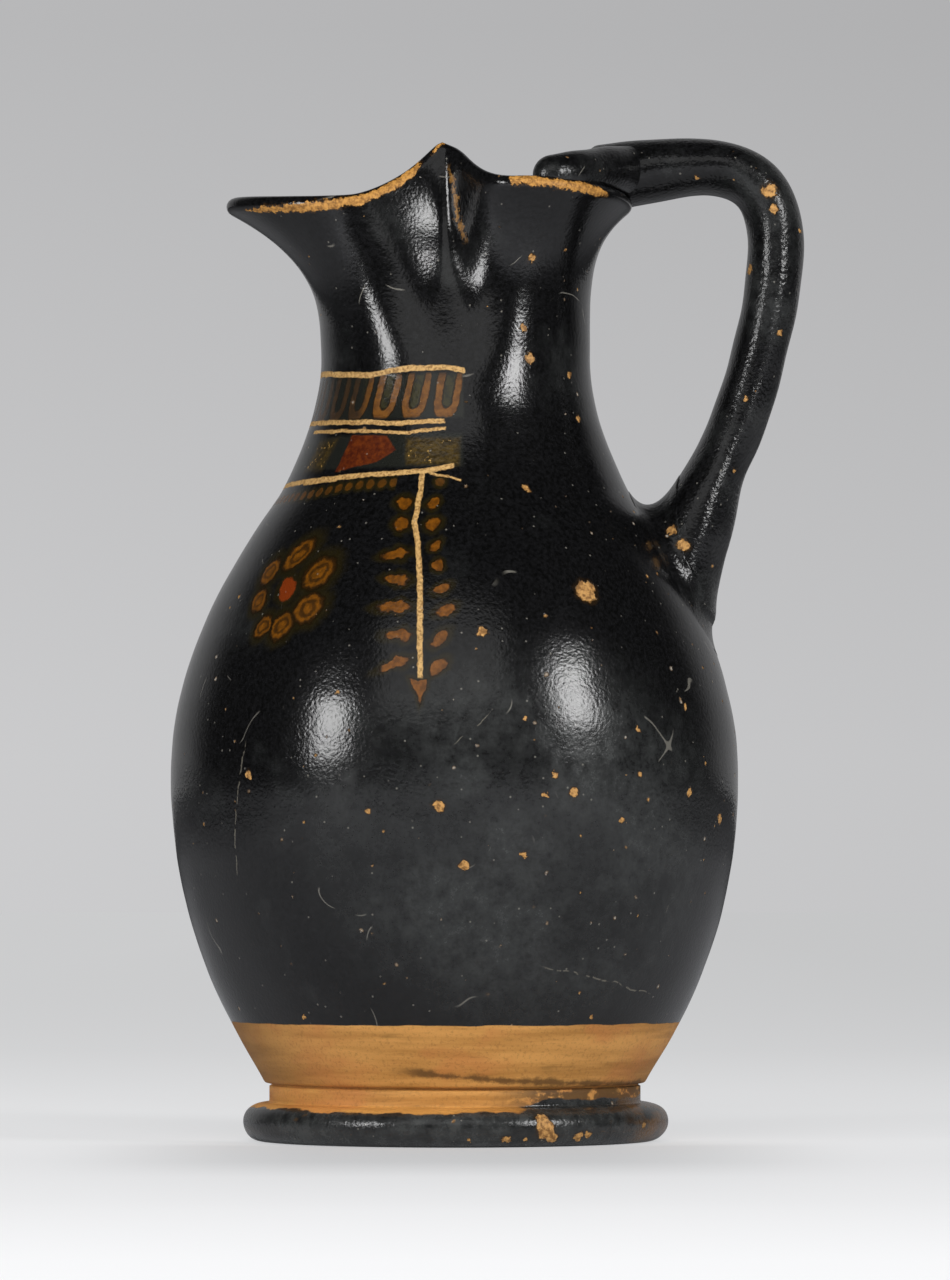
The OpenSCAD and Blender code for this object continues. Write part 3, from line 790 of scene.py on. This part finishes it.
class Gloss:
    """Black slip with a grey haze, a fine grain, specks, hairlines and chips down to the clay."""

    def __init__(self, paint, haze, chips, dust):
        self.paint = paint
        self.mottle = paint.noise(2.6, 6, 0.74)
        pit, _ = paint.cells(1.0)
        self.grain = paint.noise(0.62, 1, 0.5) + pit.step(0.28, 0.05) * -0.2
        self.haze = haze * self.mottle.step(0.3, 0.68, 0.25, 1)
        colour = paint.blend(black, soft_black, paint.noise(0.7, 2, 0.6).step(0.3, 0.7))
        self.colour = paint.blend(colour, haze_grey, self.haze)
        self.rough = self.haze.plus_times(haze_adds, gloss_rough)
        field = chip_field(paint, chips)
        chip = field.step(1.08, 0.92)
        distance, (drawn, width, self.pale) = paint.cells(2.0, paint.shaken((0.7, 0.6)))
        speck = distance.step(width.plus_times(0.2, 0.07), 0.04) * (drawn + dust * 4).step(0.955, 0.965)
        hair = (paint.noise(24, 2, 0.4) - 0.5).size().step(0.0032, 0.0014)
        hair = hair * paint.noise(8, 1).step(0.62, 0.68)
        distance, (drawn, _, _) = paint.cells(1.4)
        self.hair = hair.high(distance.step(0.17, 0.08) * drawn.step(0.86, 0.88))
        self.worn = chip.high(speck)
        self.speck = speck.without(chip)
        self.ring = field.step(1.5, 1.05).without(chip)

    def coat(self, colour):
        """The marks over a colour."""
        paint = self.paint
        tan = paint.layers(chip_dark, (chip_light, paint.noise(0.8, 3, 0.7).step(0.36, 0.62)),
                           (dust_grey, self.pale.step(0.5, 0.6) * self.speck))
        return paint.layers(colour, (chip_edge, self.ring * 0.7), (hair_colour, self.hair * hair_share),
                            (tan, self.worn))

    def relief(self, mottle_height, grain_height):
        """Relief in millimetres: the mottle and the grain, with the worn places sunk."""
        uneven = self.mottle.plus_times(mottle_height, self.grain * grain_height)
        return uneven + self.worn * -chip_depth


def bare_clay(paint):
    """Orange clay with turning marks and a fine speckle: its colour and relief."""
    turned_marks = paint.noise(5, 4, 0.6, stretch=(0.12, 0.12, 1.6))
    fine = paint.noise(0.6, 3, 0.7)
    stain = paint.noise(9, 3, 0.6, stretch=(0.5, 0.5, 1))
    ochre, pale_clay, red_clay = (158, 108, 46), (204, 148, 78), (182, 112, 58)
    colour = paint.layers(
        ochre,
        (pale_clay, turned_marks.step(0.3, 0.66)),
        (red_clay, stain.step(0.5, 0.66) * 0.45),
        ((96, 66, 26), fine.step(0.5, 0.68) * 0.3),
        ((104, 76, 30), stain.step(0.42, 0.3) * turned_marks.step(0.55, 0.4) * 0.6),
    )
    return colour, turned_marks + fine * 0.5


def painted_bands(paint, gloss):
    """Added colours on the neck and shoulder, over the gloss: colour and share of thick paint."""
    edge = paint.swing(0.9, 0.5, 3, 0.65)
    patchy = paint.noise(1.1, 3, 0.7)
    b, r, z = paint.polar(paint.shaken((2.5, 0.5), (0.6, 0.35)))
    arc = r * RADIAN
    by_hand = paint.shaken((2.2, 1.5), (0.7, 0.5))

    def flat(angle, at=None):
        """Flat places, in millimetres sideways from an angle and in height."""
        here_b, here_r, here_z = paint.polar(at) if at else (b, r, z)
        return paint.joined((here_b - angle) * here_r * RADIAN, here_z)

    def worn(dark, light):
        return paint.blend(dark, light, patchy.step(0.35, 0.65))

    # Cream lines: knots (angle, height), width, first and last angle
    strokes = [
        ([(-77, 137.3), (-37, 136.0), (-23, 136.9), (-4, 137.1), (4, 136.5)], 1.0, -99, 4.3),
        ([(-78, 128.4), (-39, 127.6), (-21, 127.1), (-4, 127.4)], 0.85, -99, -3.6),
        ([(-65, 126.5), (-38, 126.0), (-17, 125.3), (-3, 126.1)], 0.6, -70, -3.2),
        ([(-80, 117.2), (-46, 117.5), (-25, 118.0), (-10, 118.3), (0, 119.4)], 0.9, -99, -0.2),
        ([(-61, 116.9), (-43, 117.2)], 0.45, -60, -42),
        ([(-10, 118.3), (2, 116.7)], 0.4, -10, 2.1),
    ]
    cream = None
    for knots, width, first, last in strokes:
        off = (z - b.line(*knots)).size() + edge * 0.4
        drawn = off.step(width / 2 + 0.1, width / 2 - 0.1) * b.window(first, last, 0.4)
        cream = drawn if cream is None else cream.high(drawn)
    stem_b = z.line((81.7, -6.9), (91.5, -7.5), (98.6, -8.1), (104.9, -9.4), (109.2, -11), (114.9, -10.5),
                    (117.8, -10.7))
    stem_off = ((b - stem_b) * arc).size() + edge * 0.4
    cream = cream.high(stem_off.step(0.58, 0.38) * z.window(81.4, 118.2, 0.3))

    # Tongues between the upper lines: strokes round a row of arcs that are open at the top
    pitch, first_tongue, tongue_half, arc_z, slant, arc_share = 12.75, -3, 1.62, 131.2, 0.16, 0.62
    from_first = b - first_tongue
    nearest = from_first.plus_times(1 / pitch, 0.5).node("FLOOR")
    tongue_u = (from_first - nearest * pitch) * arc - (z - arc_z) * slant
    depth = (z - arc_z).low(0)
    tongue_off = (paint.length(paint.joined(tongue_u, depth * arc_share)) - tongue_half).size()
    faded = b.step(-34, -42)
    tongue_on = z.window(128.2, 136.0, 0.3) * b.step(3.5, 2.5)
    tongue = tongue_off.step(0.78, 0.55) * tongue_on
    top_fade = z.step(136.5, 133, 0.55, 1)
    tongue_line = (tongue_off - 0.72).size().step(0.2, 0.06) * tongue_on
    pale_inside = tongue_u.size().step(0.9, 0.6) * z.window(129.8, 135.6, 0.4) * tongue_on.without(faded)

    # Band below them: blotch, lozenge and block
    band = flat(-33)
    lozenge = paint.outside(band, [(-4, 125.3), (3.6, 124.9), (6.0, 122.2), (2.6, 120.1), (-6.0, 118.6)])
    block = paint.outside(flat(-8), [(-4.7, 124.3), (4.8, 124.3), (5.0, 119.4), (-4.4, 119.6)])
    blotch = paint.outside(flat(-55), [(-2.6, 124.6), (3.2, 124.8), (1.6, 119.2), (-4.2, 119.4)])

    # Dots under the lowest line
    dot_pitch, dot_r = 4.0, 0.85
    dot_u = (b - b.plus_times(1 / dot_pitch, 0.5).node("FLOOR") * dot_pitch) * arc
    dot_z = b.line((-90, 114.2), (-53, 114.8), (-38, 115.8), (-22, 116.3))
    dot = paint.length(paint.joined(dot_u, z - dot_z)).plus_times(1 / dot_r, b.step(-19, -18, 0, 9))
    dot = dot.low(paint.blob(flat(-4.6), 0, 116.3, 0.9, 0.8))

    # Leaves beside the stem: angle, height, half width, half height, turn
    leaves = [
        (-15.1, 112.6, 1.2, 1.1, 0), (-14.5, 108.7, 1.3, 1.2, 0), (-15.2, 103.2, 2.2, 0.8, 8),
        (-13.8, 98.8, 2.0, 0.85, -4), (-13.8, 93.9, 2.7, 0.8, 2), (-11.8, 88.9, 2.2, 0.9, 0),
        (-12.5, 83.8, 2.6, 0.75, 22), (-6.3, 112.5, 1.1, 1.0, 20), (-5.9, 108.7, 1.2, 1.1, 30),
        (-4.7, 104.9, 1.1, 0.8, 40), (-4.0, 101.3, 0.8, 1.0, 0), (-2.8, 97.0, 1.4, 0.9, 24),
        (-1.8, 93.3, 1.6, 0.9, 20), (-3.0, 88.4, 1.6, 0.95, 42), (-3.3, 83.3, 1.6, 1.05, 38),
    ]
    stem_middle, long_leaf = -8, 1.9
    stem = flat(stem_middle, by_hand)
    leaf = []
    for a, h, half_u, half_v, turn in leaves:
        u = (a - stem_middle) * RADIAN * float(wall_radius(h))
        leaf.append(paint.blob(stem, u, h, 1.16 * half_u, 1.08 * half_v, turn))
        if half_u > long_leaf:
            # A long leaf is broad at the end by the stem
            leaf.append(paint.blob(stem, u + 0.4 * half_u, h + 0.008 * turn * half_u, 1.25, 1.15))
    tip_point = paint.outside(stem, [(-1.0, 81.2), (2.4, 81.2), (1.0, 77.0)])
    leaf = least(leaf + [tip_point + 1])

    # Rosette: middle of each petal beside and above its own middle, half length, half width and turn
    petals = [
        (-0.4, 6.2, 3.3, 1.7, 40), (6.0, 2.7, 2.9, 2.3, 30), (6.3, -3.6, 2.8, 2.1, 20),
        (1.4, -6.6, 2.4, 1.8, 50), (-3.3, -6.5, 2.0, 1.5, 50), (-6.6, -1.9, 1.9, 1.6, 70),
        (-6.4, 3.3, 2.4, 1.6, 60),
    ]
    rose_b, rose_z = -43.4, 97.5
    rose = flat(rose_b, by_hand)
    petal = least([paint.blob(rose, u, rose_z + v, long * 1.1, broad * 1.22, turn)
                   for u, v, long, broad, turn in petals])
    core = paint.blob(rose, 0, rose_z, 1.9, 2.1, 20)

    spots = least([leaf, petal, dot, core])
    dull_band = z.window(119.2, 125.2, 0.4) * b.step(4, 2)
    dull_neck = z.window(128, 136, 0.4) * b.step(4, 3)
    brown = worn((84, 50, 14), (112, 70, 20))
    olive = worn((42, 32, 11), (70, 55, 22))
    crumbs = paint.noise(0.55, 2, 0.6).step(0.60, 0.66) * paint.noise(2.5, 2).step(0.52, 0.6)
    red = paint.blend((60, 19, 7), (94, 41, 10), patchy.step(0.3, 0.7))
    rust = worn((78, 44, 5), (110, 64, 8))
    petal_brown = worn((82, 48, 6), (112, 66, 8))
    outlines = (leaf.low(petal) - 1.0).size().step(0.24, 0.06)
    curls = (petal - 0.5).size().step(0.2, 0.05)
    cream_colour = paint.blend((124, 90, 44), (192, 154, 96), paint.noise(0.5, 3, 0.7).step(0.34, 0.6))
    halo_colour, dull_colour, pale_olive, tan = (34, 28, 8), (30, 31, 27), (54, 50, 28), (190, 150, 80)
    tongue_edge, leaf_edge, core_colour = (26, 20, 10), (22, 15, 5), (108, 42, 8)
    colour = paint.layers(
        gloss.colour,
        (halo_colour, spots.step(2.0, 1.1) * 0.7),
        (dull_colour, dull_neck.high(dull_band) * 0.8),
        (pale_olive, pale_inside * patchy.step(0.3, 0.6) * 0.7),
        (brown, tongue * faded.plus_times(-0.72, 0.92) * top_fade),
        (tongue_edge, tongue_line * faded.plus_times(-0.5, 0.75)),
        (olive, block.step(0.5, -0.5) * 0.9),
        (olive, blotch.step(0.9, -1.2) * 0.7),
        (tan, crumbs * block.low(blotch).step(-0.2, -0.5)),
        (red, lozenge.step(0.15, -0.15)),
        (rust, leaf.step(1.1, 0.85)),
        (petal_brown, petal.step(1.12, 0.9).high(dot.step(1.1, 0.7) * 0.5) * 0.9),
        (leaf_edge, outlines.high(curls * 0.8) * 0.85),
        (core_colour, core.step(1.1, 0.85)),
        (cream_colour, cream),
    )
    covered = spots.step(1.1, 0.9).high(lozenge.step(0.1, -0.1)).high(tongue)
    return colour, cream, covered


# Chips on the wall: angle, height, radius
wall_chips = [
    (32, 96.8, 2.0), (6, 89.6, 0.8), (-45, 64.9, 0.7), (-17, 58.3, 0.6), (-3, 59.3, 1.0), (2, 49.1, 0.9),
    (14, 50.9, 0.6), (24, 61.6, 0.9), (18, 61.2, 0.5), (39, 64.8, 0.5), (39, 72.7, 0.5), (54, 61.8, 0.7),
    (68, 57.3, 0.9), (54, 77.0, 0.5), (14, 74.6, 0.4), (-24, 79.0, 0.5), (35, 57.0, 0.5), (60, 67.1, 0.4),
    (20, 64.7, 0.6), (23, 115.2, 0.7), (-21, 162.3, 0.6), (-16, 166.6, 0.5), (7, 162.8, 0.6),
    (11, 156.9, 0.8), (33, 156.7, 0.8), (50, 158.6, 0.4), (30, 144.3, 0.7), (33, 139.0, 0.9),
    (56, 136.5, 0.6), (57, 128.8, 0.7), (-40, 22.6, 0.5), (36, 22.6, 0.5),
]
mouth_sheet = skin(column_s[:, None], np.linspace(0, 1, 81)[None, :])
sheet_angle = np.degrees(np.arctan2(mouth_sheet[..., 0], -mouth_sheet[..., 1]))


def on_jug(angle, height):
    """Point on the wall or the mouth at an angle and a height."""
    if height <= neck_z:
        return on_wall(angle, height)
    apart = np.abs(sheet_angle - angle) + np.abs(mouth_sheet[..., 2] - height)
    return mouth_sheet.reshape(-1, 3)[np.argmin(apart)]


paint = Paint("body_gloss")
_, true_y, true_z = paint.split(paint.place)
true_b, true_r, _ = paint.polar(paint.place)
# The haze lies in a broad oval low on the near side, and thinly in clouds elsewhere
cloud = paint.noise(24, 4, 0.6)
low_field = paint.blob(paint.joined(true_b * RADIAN * belly_r, true_z), 16, 53, 46, 36)
haze = low_field.step(1.1, 0.55) * true_y.step(8, -8) * cloud.step(0.36, 0.58, 0.35, 1)
haze = haze.high(cloud.step(0.56, 0.7) * 0.4) * 0.56
dust = true_z.step(120, 60, 0.007, 0.013) + true_b.step(5, 45) * 0.02
gloss = Gloss(paint, haze, [(on_jug(a, h), r) for a, h, r in wall_chips], dust)
colour, cream, covered = painted_bands(paint, gloss)
colour = gloss.coat(colour)

# Three long pale scratches on the near side
near = true_y.step(0, -1)
scratch_b, scratch_r, scratch_z = paint.polar(paint.shaken((6, 2.0), (1.5, 0.5)))
upright = (scratch_b - scratch_z.line((46, -51), (59, -49), (71, -46))).size() * scratch_r * RADIAN
level = (scratch_z - scratch_b.line((19, 31.8), (35, 29.5), (54, 26.4))).size()
slanting = (scratch_z - scratch_b.line((0, 69.7), (9, 77.6))).size()
scratch = upright.step(0.18, 0.08) * scratch_z.window(47, 70, 1)
scratch = scratch.high(level.step(0.16, 0.06) * scratch_b.window(21, 52, 2))
scratch = scratch.high(slanting.step(0.18, 0.06) * scratch_b.window(0.8, 8, 0.5))
scratch = scratch * paint.noise(1.4, 2).step(0.42, 0.52) * near

# Worn lip: tan line round the outer edge of the lip, here and there
rim = Num(paint.tree, paint.add("Attribute", attribute_name="rim_mm").outputs["Fac"])
wear_noise = paint.swing(3.2, 1.6, 4, 0.7) + paint.swing(1.6, 0.5, 2)
wear_b = true_b + paint.swing(6, 6, 2)
wear_middle = wear_b.line((-60, 2.5), (-20, 2.3), (-8, 1.4), (16, 1.0), (40, 1.3), (60, 1.6))
wear_half = wear_b.line((-84, -1.6), (-74, 0.5), (-60, 0.8), (-24, 0.9), (-19, -1.2), (-15, 0.6), (-9, 0.5),
                        (-6, -1.6), (17, -1.6), (20, 0.9), (52, 0.9), (57, 0.2), (62, -1.6))
wear_off = (rim - wear_middle).size() - wear_half + wear_noise * 0.75
rim_worn = wear_off.step(0.12, -0.12)
side_worn = (rim.size() + wear_noise).step(1.0, 0.6) * paint.noise(9, 2).step(0.56, 0.6)
rim_worn = rim_worn.high(side_worn * true_y.step(-2, 6))
streak_b = true_z.line((159.7, 6), (164.2, 2), (168.9, 0), (174, -4))
streak = ((true_b - streak_b) * true_r * RADIAN).size() + paint.swing(3.2, 0.9, 3, 0.7)
streak = streak.step(0.45, 0.1) * true_z.window(160.5, 173, 1.5) * near
rim_tan = paint.blend((120, 80, 30), (188, 136, 66), paint.noise(0.7, 4, 0.7).step(0.36, 0.6))
thin_brown = (60, 40, 16)

# Bare band over the foot, with a brown streak of thin slip, and bare clay deep inside and underneath
clay_colour, clay_relief = bare_clay(paint)
band_edge = true_z + paint.swing(0.7, 7, 2)
clay = band_edge.step(21.35, 21.15).high(rim.step(-34, -36))
streak_z = true_b.line((-12, 13.2), (-2, 12.4), (20, 11.4), (60, 10.6))
slip_streak = (true_z - streak_z).size() + paint.swing(2.4, 3, 4, 0.7)
slip_streak = slip_streak.step(0.9, 0.1) * true_b.window(-14, 80, 6) * near
painted_shade_clay, slip_brown = (104, 74, 32), (84, 56, 22)
# Painted shade: the bare band is darker towards the spout side
clay_colour = paint.layers(clay_colour, (painted_shade_clay, true_b.step(-25, -75) * 0.55),
                           (slip_brown, slip_streak * 0.85))
colour = paint.layers(
    colour,
    (scratch_colour, scratch * scratch_share),
    (thin_brown, wear_off.step(0.5, 0.1) * 0.6),
    (rim_tan, rim_worn.high(streak * 0.5)),
    (clay_colour, clay),
)
rough = gloss.rough + gloss.worn.high(rim_worn).high(cream) * wear_adds + covered * paint_adds
rough = rough.without(clay) + clay * clay_rough
relief = gloss.relief(0.025, 0.036).without(clay) + clay_relief * clay * 0.12
body.data.materials.append(paint.finish(colour, rough, relief))

# Handle, arms and root
# Chips on the strap: place along it, angle round it, radius
strap_chips = [(1.59, -100, 1.4), (1.74, -92, 0.8), (2.17, -26, 1.0), (2.45, -122, 0.6), (2.78, -88, 0.5),
               (3.59, -62, 0.9), (3.65, -84, 1.1), (0.92, -60, 0.5), (1.92, -148, 0.5), (3.15, -124, 0.5)]
paint = Paint("strap_gloss")
strap_haze = paint.noise(14, 4, 0.6).step(0.45, 0.65) * 0.4
strap_dust = paint.noise(20, 1).step(0.4, 0.7) * 0.016
strap_chips = [(strap_points([s], [a * RADIAN])[0, 0], r) for s, a, r in strap_chips]
gloss = Gloss(paint, strap_haze, strap_chips, strap_dust)
handle_rough = gloss.rough * 1.3 + gloss.worn * wear_adds
handle_colour = gloss.coat(gloss.colour)
handle_mat = paint.finish(handle_colour, handle_rough, gloss.relief(0.06, 0.1))
for piece in (handle, root_clay, *arms):
    piece.data.materials.append(handle_mat)

# Foot: black roll, thin brown slip on part of it, bare above and under
paint = Paint("foot_gloss")
foot_b, foot_r, foot_z = paint.polar(paint.place)
foot_haze = paint.noise(10, 4, 0.6).step(0.3, 0.62, 0.3, 1) * 0.75
# Chips on the roll: angle, height, radius
foot_chips = [(25, 3.0, 1.7), (27, 1.6, 1.0), (24, 4.6, 1.3), (35, 1.6, 0.9), (38, 2.2, 0.7), (14, 1.2, 0.8),
              (19, 1.2, 0.5), (-6, 1.0, 0.5), (62, 3.2, 0.6), (4, 1.2, 0.4)]
roll_r_at = 37.8
foot_chips = [((roll_r_at * math.sin(a * RADIAN), -roll_r_at * math.cos(a * RADIAN), h), r)
              for a, h, r in foot_chips]
gloss = Gloss(paint, foot_haze, foot_chips, paint.noise(20, 1).step(0.3, 0.6) * 0.012)
thin = paint.noise(6, 3, 0.6, stretch=(1, 1, 2.5))
thin_here = foot_b.step(50, 66) * thin.step(0.35, 0.6)
foot_clay, foot_relief = bare_clay(paint)
smear = paint.noise(3.5, 4, 0.7, stretch=(1, 1, 1.6))
bare_from = foot_b.line((-60, 6.2), (0, 5.9), (18, 6.3), (30, 8.2))
bare_edge = foot_z + paint.swing(1.8, 5, 3, 0.6) - bare_from
bare = bare_edge.step(-0.15, 0.15).high(foot_r.step(27.2, 26.8))
brown_top = foot_b.step(8, 30) * smear.step(0.36, 0.5)
dark_slip, thin_slip = (62, 42, 18), (92, 62, 24)
foot_clay = paint.blend(foot_clay, dark_slip, brown_top * foot_r.step(30, 31) * 0.85)
colour = paint.layers(
    gloss.coat(gloss.colour),
    (thin_slip, thin_here.high(thin.step(0.66, 0.72) * 0.5) * 0.8),
    (foot_clay, bare),
)
foot_rough = (gloss.rough + gloss.worn * wear_adds).without(bare) + bare * clay_rough
relief = gloss.relief(0.06, 0.07).without(bare) + foot_relief * bare * 0.1
foot.data.materials.append(paint.finish(colour, foot_rough, relief))

# Ring of slip between wall and foot
paint = Paint("bare_clay")
slip_colour, slip_relief = bare_clay(paint)
slip_mat = paint.finish(slip_colour, slip_rough, slip_relief * 0.1)
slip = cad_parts["foot_slip"]
slip.data.materials.clear()
slip.data.materials.append(slip_mat)

# Floor
floor_mesh = bpy.data.meshes.new("floor")
half_floor = 12.0
corners = [(half_floor * i, half_floor * j, 0) for i, j in ((-1, -1), (1, -1), (1, 1), (-1, 1))]
floor_mesh.from_pydata(corners, [], [(0, 1, 2, 3)])
floor = placed("floor", floor_mesh)

# The camera sees a drawn grey that changes with the distance, and a dim matte floor for the shadow
drawn_share, floor_grey = 0.62, (222, 223, 227)
dim_grey, cool_white, sky_white = (0.29, 0.29, 0.295, 1), (0.985, 0.99, 1, 1), (0.985, 0.985, 1, 1)
floor_mat = bpy.data.materials.new("pale_floor")
floor_mat.use_nodes = True
tree = floor_mat.node_tree
tree.nodes.clear()
floor_split = add(tree, "SeparateXYZ", [add(tree, "TexCoord").outputs["Object"]])
floor_x, floor_y = (Num(tree, floor_split.outputs[i]) * (1 / MM) for i in range(2))
level = floor_y.line((-380, 0.99), (-230, 0.90), (-90, 0.88), (0, 0.94), (150, 0.98), (360, 0.95),
                     (650, 0.92), (2500, 0.925))
level = level + floor_x.line((-250, 0.03), (250, -0.03))
# Painted shadow: the drawn grey is darkened on the floor just in front of the foot
painted_front_shadow = floor_y.line((-260, 0), (-150, 0.08), (-95, 0.34), (-30, 0.40), (0, 0)) * floor_x.size().step(75, 20)
level = level.without(painted_front_shadow)
drawn = add(tree, "Emission", (cool_white, level * drawn_share))
matte = add(tree, "BsdfDiffuse", [rgb(*floor_grey)])
matte_seen = add(tree, "BsdfDiffuse", [dim_grey])
both = add(tree, "AddShader", (drawn.outputs[0], matte_seen.outputs[0]))
is_camera = add(tree, "LightPath").outputs["Is Camera Ray"]
chosen = add(tree, "MixShader", (is_camera, matte.outputs[0], both.outputs[0]))
add(tree, "OutputMaterial", [chosen.outputs[0]])
floor_mesh.materials.append(floor_mat)

# World: the camera sees a soft change of grey behind the jug, and the gloss mirrors a dim room
world = bpy.data.worlds.new("studio")
bpy.context.scene.world = world
world.use_nodes = True
tree = world.node_tree
sky = tree.nodes["Background"]
sky_split = add(tree, "SeparateXYZ", [add(tree, "TexCoord").outputs["Generated"]])
sky_x, sky_y, sky_z = (Num(tree, out) for out in sky_split.outputs)
seen = sky_z.line((-0.02, 0.595), (0.02, 0.585), (0.07, 0.53), (0.132, 0.465))
seen = seen + sky_x.line((-0.07, 0.02), (0.07, -0.02))
room = sky_y.step(0.45, 0.8, 0.028, 0.36) * sky_z.step(0.9, 0.3, 0.5, 1)
camera_share = Num(tree, add(tree, "LightPath").outputs["Is Camera Ray"])
put(tree, room.without(camera_share) + seen * camera_share, sky.inputs[1])
put(tree, sky_white, sky.inputs[0])


lamp_aim_z = 90


def soft_box(name, azimuth, elevation, distance, width, height, power):
    """Area lamp that looks at the jug's belly: azimuth is from -Y towards +X."""
    lamp = bpy.data.lights.new(name, "AREA")
    lamp.shape = "RECTANGLE"
    lamp.size, lamp.size_y = width * MM, height * MM
    lamp.energy = power
    obj = placed(name, lamp)
    a, e = azimuth * RADIAN, elevation * RADIAN
    away = Vector((math.sin(a) * math.cos(e), -math.cos(a) * math.cos(e), math.sin(e)))
    obj.location = Vector((0, 0, lamp_aim_z * MM)) + away * distance * MM
    obj.rotation_euler = away.to_track_quat("Z", "Y").to_euler()
    return obj


soft_box("box_left", -52, 13, 900, 190, 270, 2.9)
soft_box("box_right", 50, 20.5, 900, 220, 290, 4.2)
soft_box("sheen", -8, 34, 1700, 1500, 900, 4)
soft_box("fill", -8, 30, 1100, 900, 700, 7).visible_glossy = False

camera_data = bpy.data.cameras.new("camera")
camera = placed("camera", camera_data)
# The frame is 1280 pixels high, at 0.18 mm to a pixel at the jug's axis
eye = Vector((3.6, -1170, 44.8)) * MM
aim = Vector((3.6, 0, 89.8)) * MM
field_height = 1280 * 0.18 * MM
camera.location = eye
camera.rotation_euler = (aim - eye).to_track_quat("-Z", "Y").to_euler()
camera_data.sensor_fit = "VERTICAL"
camera_data.sensor_height = 36
camera_data.lens = camera_data.sensor_height * (aim - eye).length / field_height
camera_data.clip_start, camera_data.clip_end = 0.05, 50
bpy.context.scene.camera = camera
bpy.context.scene.view_settings.view_transform = "Standard"
